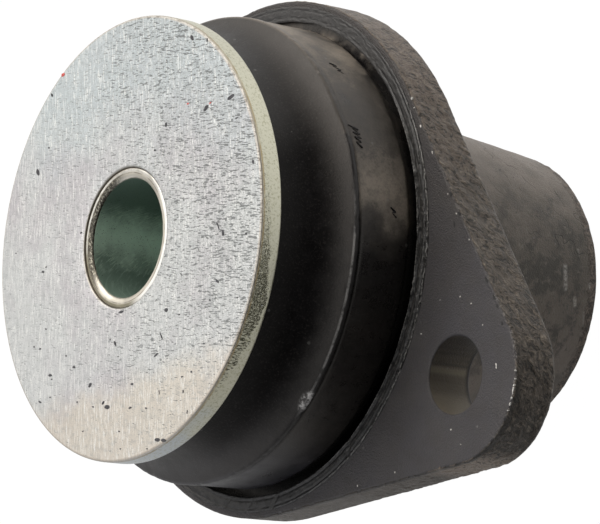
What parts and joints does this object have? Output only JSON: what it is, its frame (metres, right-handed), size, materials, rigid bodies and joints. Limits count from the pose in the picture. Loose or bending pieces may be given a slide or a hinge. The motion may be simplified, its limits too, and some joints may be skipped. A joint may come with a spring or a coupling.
{
  "type": "cab vibration damper",
  "caption": "Rubber-bonded cab mount: steel stop washer on a bored sleeve, set in a black rubber cushion held by a cast bolt flange with a tapering skirt.",
  "frame": {"origin": "centre of the casting's open end face, where the sleeve's axis meets the base plane", "axes": "+Z along the sleeve's axis towards the stop washer, X through the two bolt holes, Y across the flange"},
  "size_m": [0.1504, 0.0958, 0.0906],
  "materials": {
    "zinc_plate": "bright zinc plate on punched steel, faint stains and dark flecks",
    "zinc_sleeve": "zinc plate on machined steel tube, greenish in the bore",
    "black_rubber": "moulded black rubber, satin, with flash at the parting lines",
    "painted_casting": "thin black paint over as-cast iron, worn at the edges"
  },
  "bodies": {
    "root": {"stop_washer": "zinc_plate", "inner_sleeve": "zinc_sleeve", "rubber_body": "black_rubber", "flange_housing": "painted_casting"}
  },
  "joints": []
}
